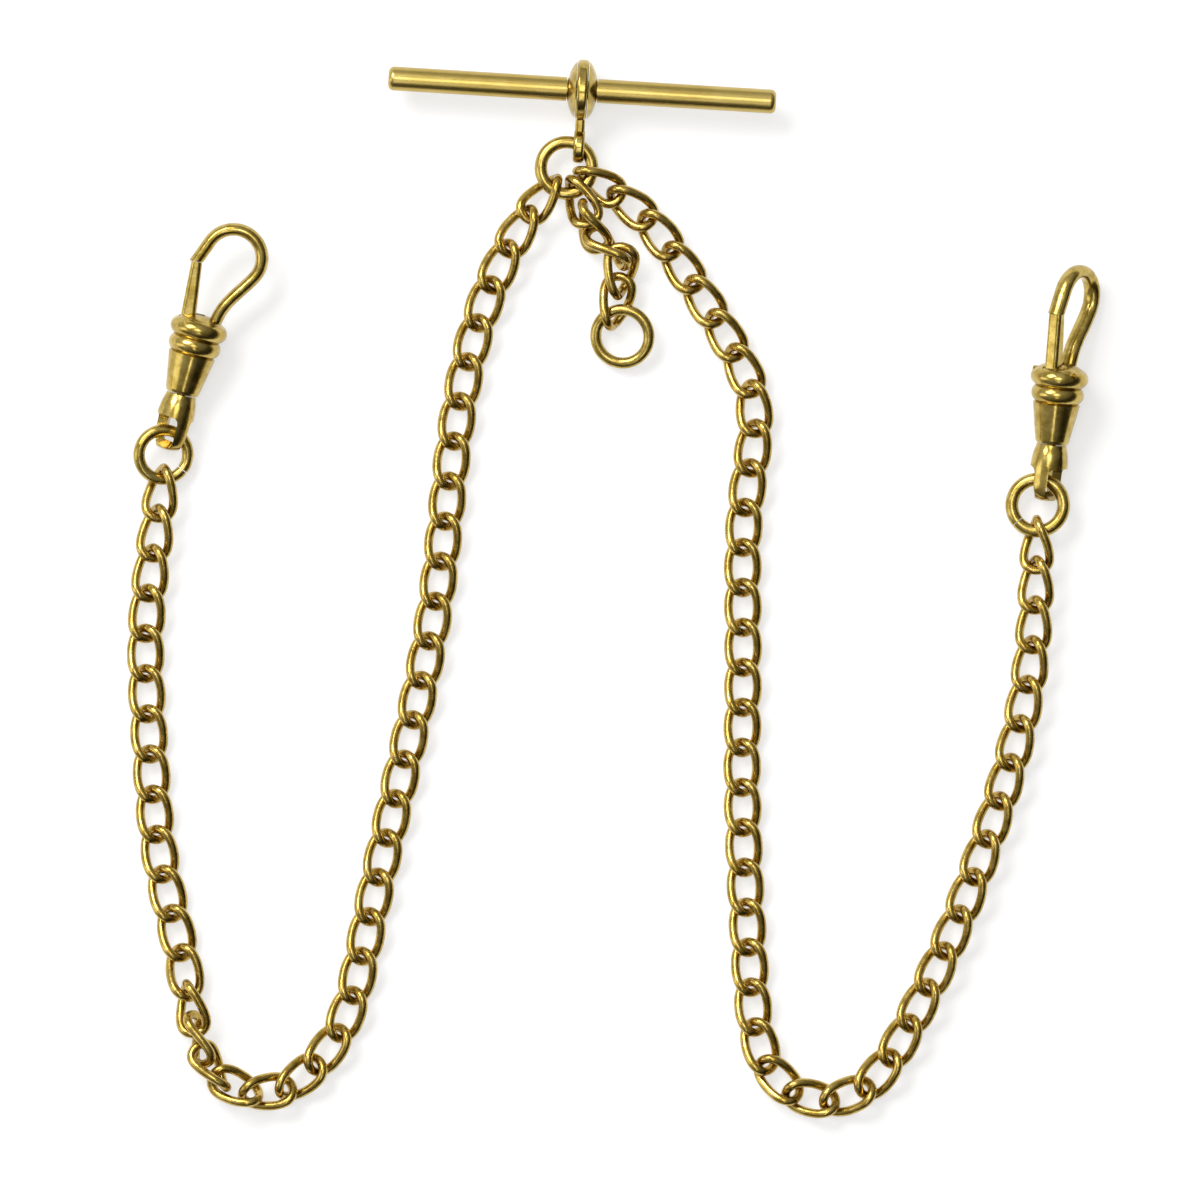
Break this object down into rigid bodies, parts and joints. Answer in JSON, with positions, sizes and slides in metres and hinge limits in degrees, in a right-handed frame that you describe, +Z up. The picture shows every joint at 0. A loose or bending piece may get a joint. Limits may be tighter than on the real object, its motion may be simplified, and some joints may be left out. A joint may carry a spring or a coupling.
{
  "type": "pocket watch chain",
  "caption": "Double Albert pocket watch chain in gold-coloured curb link with a T-bar, a fob drop and a swivel clasp at each end.",
  "frame": {"origin": "middle of the laid-out chain on the table surface", "axes": "+Z up from the table, +Y towards the T-bar, +X to the right seen from above"},
  "size_m": [0.0972, 0.1056, 0.0066],
  "materials": {
    "gold": "polished gold plate",
    "spring_steel": "satin"
  },
  "bodies": {
    "centre_ring": {"centre_ring": "gold"},
    "t_bar_shackle": {"t_bar_shackle": "gold"},
    "t_bar": {"t_bar": "gold", "t_bar_washers": "gold"},
    "left_chain_01": {"left_chain_links_01_03": "gold"},
    "left_chain_02": {"left_chain_links_04_06": "gold"},
    "left_chain_03": {"left_chain_links_07_09": "gold"},
    "left_chain_04": {"left_chain_links_10_12": "gold"},
    "left_chain_05": {"left_chain_links_13_15": "gold"},
    "left_chain_06": {"left_chain_links_16_18": "gold"},
    "left_chain_07": {"left_chain_links_19_21": "gold"},
    "left_chain_08": {"left_chain_links_22_24": "gold"},
    "left_chain_09": {"left_chain_links_25_27": "gold"},
    "left_chain_10": {"left_chain_links_28_30": "gold"},
    "left_chain_11": {"left_chain_links_31_33": "gold"},
    "left_chain_12": {"left_chain_links_34_36": "gold"},
    "left_chain_13": {"left_chain_links_37_39": "gold"},
    "left_chain_14": {"left_chain_links_40_42": "gold"},
    "left_swivel_ring": {"left_swivel_ring": "gold"},
    "left_yoke": {"left_yoke": "gold", "left_swivel_rivet": "gold"},
    "left_clasp": {"left_clasp_body": "gold", "left_gate_pin": "gold", "left_gate_spring": "spring_steel"},
    "left_gate": {"left_gate": "gold"},
    "right_chain_01": {"right_chain_links_01_03": "gold"},
    "right_chain_02": {"right_chain_links_04_06": "gold"},
    "right_chain_03": {"right_chain_links_07_09": "gold"},
    "right_chain_04": {"right_chain_links_10_12": "gold"},
    "right_chain_05": {"right_chain_links_13_15": "gold"},
    "right_chain_06": {"right_chain_links_16_18": "gold"},
    "right_chain_07": {"right_chain_links_19_21": "gold"},
    "right_chain_08": {"right_chain_links_22_24": "gold"},
    "right_chain_09": {"right_chain_links_25_27": "gold"},
    "right_chain_10": {"right_chain_links_28_30": "gold"},
    "right_chain_11": {"right_chain_links_31_33": "gold"},
    "right_chain_12": {"right_chain_links_34_36": "gold"},
    "right_chain_13": {"right_chain_links_37_39": "gold"},
    "right_chain_14": {"right_chain_links_40_42": "gold"},
    "right_swivel_ring": {"right_swivel_ring": "gold"},
    "right_yoke": {"right_yoke": "gold", "right_swivel_rivet": "gold"},
    "right_clasp": {"right_clasp_body": "gold", "right_gate_pin": "gold", "right_gate_spring": "spring_steel"},
    "right_gate": {"right_gate": "gold"},
    "fob_link_1": {"fob_link_1": "gold"},
    "fob_link_2": {"fob_link_2": "gold"},
    "fob_link_3": {"fob_link_3": "gold"},
    "fob_link_4": {"fob_link_4": "gold"},
    "fob_link_5": {"fob_link_5": "gold"},
    "fob_ring": {"fob_ring": "gold"}
  },
  "joints": [
    {"name": "left_chain_01_bend", "type": "hinge", "parent": "centre_ring", "child": "left_chain_01", "pos_m": [-0.00616, 0.04054, 0.0017], "axis": [0.7604, -0.6494, 0], "range_deg": [-10, 10]},
    {"name": "left_chain_02_bend", "type": "hinge", "parent": "left_chain_01", "child": "left_chain_02", "pos_m": [-0.01199, 0.03082, 0.00129], "axis": [0, 0, -1], "range_deg": [-18, 20]},
    {"name": "left_chain_03_bend", "type": "hinge", "parent": "left_chain_02", "child": "left_chain_03", "pos_m": [-0.01515, 0.01919, 0.00112], "axis": [-0.9852, 0.1712, 0], "range_deg": [-20, 20]},
    {"name": "left_chain_04_bend", "type": "hinge", "parent": "left_chain_03", "child": "left_chain_04", "pos_m": [-0.01661, 0.00721, 0.00112], "axis": [0, 0, 1], "range_deg": [-20, 20]},
    {"name": "left_chain_05_bend", "type": "hinge", "parent": "left_chain_04", "child": "left_chain_05", "pos_m": [-0.0182, -0.00475, 0.00112], "axis": [0.9842, -0.1771, 0], "range_deg": [-20, 20]},
    {"name": "left_chain_06_bend", "type": "hinge", "parent": "left_chain_05", "child": "left_chain_06", "pos_m": [-0.02066, -0.01657, 0.00112], "axis": [0, 0, -1], "range_deg": [-20, 20]},
    {"name": "left_chain_07_bend", "type": "hinge", "parent": "left_chain_06", "child": "left_chain_07", "pos_m": [-0.02329, -0.02835, 0.00112], "axis": [-0.9771, 0.2129, 0], "range_deg": [-20, 20]},
    {"name": "left_chain_08_bend", "type": "hinge", "parent": "left_chain_07", "child": "left_chain_08", "pos_m": [-0.02576, -0.04017, 0.00112], "axis": [0, 0, 1], "range_deg": [-16, 20]},
    {"name": "left_chain_09_bend", "type": "hinge", "parent": "left_chain_08", "child": "left_chain_09", "pos_m": [-0.03258, -0.04956, 0.00142], "axis": [0.3897, -0.921, 0], "range_deg": [-4, 18]},
    {"name": "left_chain_10_bend", "type": "hinge", "parent": "left_chain_09", "child": "left_chain_10", "pos_m": [-0.04082, -0.04598, 0.0021], "axis": [0, 0, -1], "range_deg": [-20, 12]},
    {"name": "left_chain_11_bend", "type": "hinge", "parent": "left_chain_10", "child": "left_chain_11", "pos_m": [-0.04297, -0.03587, 0.00112], "axis": [0.9793, 0.2025, 0], "range_deg": [-20, 20]},
    {"name": "left_chain_12_bend", "type": "hinge", "parent": "left_chain_11", "child": "left_chain_12", "pos_m": [-0.04544, -0.02406, 0.00112], "axis": [0, 0, 1], "range_deg": [-20, 20]},
    {"name": "left_chain_13_bend", "type": "hinge", "parent": "left_chain_12", "child": "left_chain_13", "pos_m": [-0.04632, -0.01202, 0.00112], "axis": [-0.9984, -0.0559, 0], "range_deg": [-20, 20]},
    {"name": "left_chain_14_bend", "type": "hinge", "parent": "left_chain_13", "child": "left_chain_14", "pos_m": [-0.04623, 0.00003, 0.00137], "axis": [0, 0, -1], "range_deg": [-20, 20]},
    {"name": "left_ring_hinge", "type": "hinge", "parent": "left_chain_14", "child": "left_swivel_ring", "pos_m": [-0.04482, 0.01141, 0.00151], "axis": [-0.9728, 0.0128, 0.2312], "range_deg": [-20, 20]},
    {"name": "clasp_yoke_left", "type": "hinge", "parent": "left_swivel_ring", "child": "left_yoke", "pos_m": [-0.04399, 0.01623, 0.00187], "axis": [0, 0, 1], "range_deg": [-22, 10]},
    {"name": "clasp_swivel_left", "type": "hinge", "parent": "left_yoke", "child": "left_clasp", "pos_m": [-0.04115, 0.02635, 0.00293], "axis": [0.2625, 0.9596, 0.1011], "continuous": true},
    {"name": "clasp_gate_left", "type": "hinge", "parent": "left_clasp", "child": "left_gate", "pos_m": [-0.04225, 0.02727, 0.00299], "axis": [0.0267, 0.0975, -0.9949], "range_deg": [0, 28], "stiffness_Nm_per_rad": 0.0008, "springref_deg": -8.59},
    {"name": "right_chain_01_bend", "type": "hinge", "parent": "centre_ring", "child": "right_chain_01", "pos_m": [-0.00216, 0.04141, 0.0017], "axis": [-0.4187, -0.9081, 0], "range_deg": [-12, 8]},
    {"name": "right_chain_02_bend", "type": "hinge", "parent": "right_chain_01", "child": "right_chain_02", "pos_m": [0.00598, 0.03425, 0.00137], "axis": [0, 0, 1], "range_deg": [-20, 20]},
    {"name": "right_chain_03_bend", "type": "hinge", "parent": "right_chain_02", "child": "right_chain_03", "pos_m": [0.01235, 0.0241, 0.00137], "axis": [0.8869, 0.462, 0], "range_deg": [-20, 20]},
    {"name": "right_chain_04_bend", "type": "hinge", "parent": "right_chain_03", "child": "right_chain_04", "pos_m": [0.01387, 0.01254, 0.00129], "axis": [0, 0, -1], "range_deg": [-20, 20]},
    {"name": "right_chain_05_bend", "type": "hinge", "parent": "right_chain_04", "child": "right_chain_05", "pos_m": [0.0131, 0.0006, 0.00112], "axis": [-1, -0.003, 0], "range_deg": [-20, 20]},
    {"name": "right_chain_06_bend", "type": "hinge", "parent": "right_chain_05", "child": "right_chain_06", "pos_m": [0.01311, -0.01139, 0.00112], "axis": [0, 0, 1], "range_deg": [-20, 20]},
    {"name": "right_chain_07_bend", "type": "hinge", "parent": "right_chain_06", "child": "right_chain_07", "pos_m": [0.01315, -0.02337, 0.00112], "axis": [0.9995, 0.0315, 0], "range_deg": [-20, 20]},
    {"name": "right_chain_08_bend", "type": "hinge", "parent": "right_chain_07", "child": "right_chain_08", "pos_m": [0.0137, -0.03534, 0.00112], "axis": [0, 0, -1], "range_deg": [-20, 20]},
    {"name": "right_chain_09_bend", "type": "hinge", "parent": "right_chain_08", "child": "right_chain_09", "pos_m": [0.01541, -0.04716, 0.00112], "axis": [-0.8742, -0.4855, 0], "range_deg": [-14, 20]},
    {"name": "right_chain_10_bend", "type": "hinge", "parent": "right_chain_09", "child": "right_chain_10", "pos_m": [0.0254, -0.04952, 0.00119], "axis": [0, 0, 1], "range_deg": [-20, 6]},
    {"name": "right_chain_11_bend", "type": "hinge", "parent": "right_chain_10", "child": "right_chain_11", "pos_m": [0.03162, -0.03936, 0.00133], "axis": [-0.9027, 0.4304, 0], "range_deg": [-20, 20]},
    {"name": "right_chain_12_bend", "type": "hinge", "parent": "right_chain_11", "child": "right_chain_12", "pos_m": [0.03622, -0.02829, 0.00135], "axis": [0, 0, -1], "range_deg": [-20, 20]},
    {"name": "right_chain_13_bend", "type": "hinge", "parent": "right_chain_12", "child": "right_chain_13", "pos_m": [0.03989, -0.01689, 0.00136], "axis": [0.9651, -0.2617, 0], "range_deg": [-20, 20]},
    {"name": "right_chain_14_bend", "type": "hinge", "parent": "right_chain_13", "child": "right_chain_14", "pos_m": [0.04206, -0.00512, 0.00152], "axis": [0, 0, 1], "range_deg": [-20, 20]},
    {"name": "right_ring_hinge", "type": "hinge", "parent": "right_chain_14", "child": "right_swivel_ring", "pos_m": [0.04244, 0.00622, 0.00181], "axis": [0.988, -0.0356, 0.1503], "range_deg": [-20, 20]},
    {"name": "clasp_yoke_right", "type": "hinge", "parent": "right_swivel_ring", "child": "right_yoke", "pos_m": [0.04343, 0.01126, 0.00184], "axis": [0, 0, -1], "range_deg": [-2, 30]},
    {"name": "clasp_swivel_right", "type": "hinge", "parent": "right_yoke", "child": "right_clasp", "pos_m": [0.04465, 0.02155, 0.00326], "axis": [0.1104, 0.9846, 0.1357], "continuous": true},
    {"name": "clasp_gate_right", "type": "hinge", "parent": "right_clasp", "child": "right_gate", "pos_m": [0.04398, 0.02208, 0.00441], "axis": [-0.8154, 0.1678, -0.554], "range_deg": [0, 28], "stiffness_Nm_per_rad": 0.0008, "springref_deg": -8.59},
    {"name": "fob_hinge_1", "type": "hinge", "parent": "centre_ring", "child": "fob_link_1", "pos_m": [-0.0037, 0.04005, 0.0017], "axis": [0.9511, 0.309, 0], "range_deg": [-8, 14]},
    {"name": "fob_hinge_2", "type": "hinge", "parent": "fob_link_1", "child": "fob_link_2", "pos_m": [-0.00235, 0.03745, 0.0027], "axis": [0, 0, 1], "range_deg": [0, 12]},
    {"name": "fob_hinge_3", "type": "hinge", "parent": "fob_link_2", "child": "fob_link_3", "pos_m": [-0.0017, 0.0358, 0.00215], "axis": [-0.6866, -0.727, 0], "range_deg": [-2, 2]},
    {"name": "fob_hinge_4", "type": "hinge", "parent": "fob_link_3", "child": "fob_link_4", "pos_m": [0.001, 0.03325, 0.00255], "axis": [0, 0, -1], "range_deg": [-20, 6]},
    {"name": "fob_hinge_5", "type": "hinge", "parent": "fob_link_4", "child": "fob_link_5", "pos_m": [0.00085, 0.0311, 0.00175], "axis": [0.9776, -0.2104, 0], "range_deg": [-6, 20]},
    {"name": "fob_ring_hinge", "type": "hinge", "parent": "fob_link_5", "child": "fob_ring", "pos_m": [-0.00003, 0.02812, 0.00167], "axis": [-0.8979, -0.3923, -0.1996], "range_deg": [-12, 20]},
    {"name": "t_bar_swing", "type": "hinge", "parent": "centre_ring", "child": "t_bar_shackle", "pos_m": [-0.00323, 0.04473, 0.0017], "axis": [0.8725, -0.4886, 0], "range_deg": [-10, 60]},
    {"name": "t_bar_tilt", "type": "hinge", "parent": "t_bar_shackle", "child": "t_bar", "pos_m": [-0.00292, 0.05019, 0.00315], "axis": [0.9981, -0.0611, 0], "continuous": true}
  ]
}
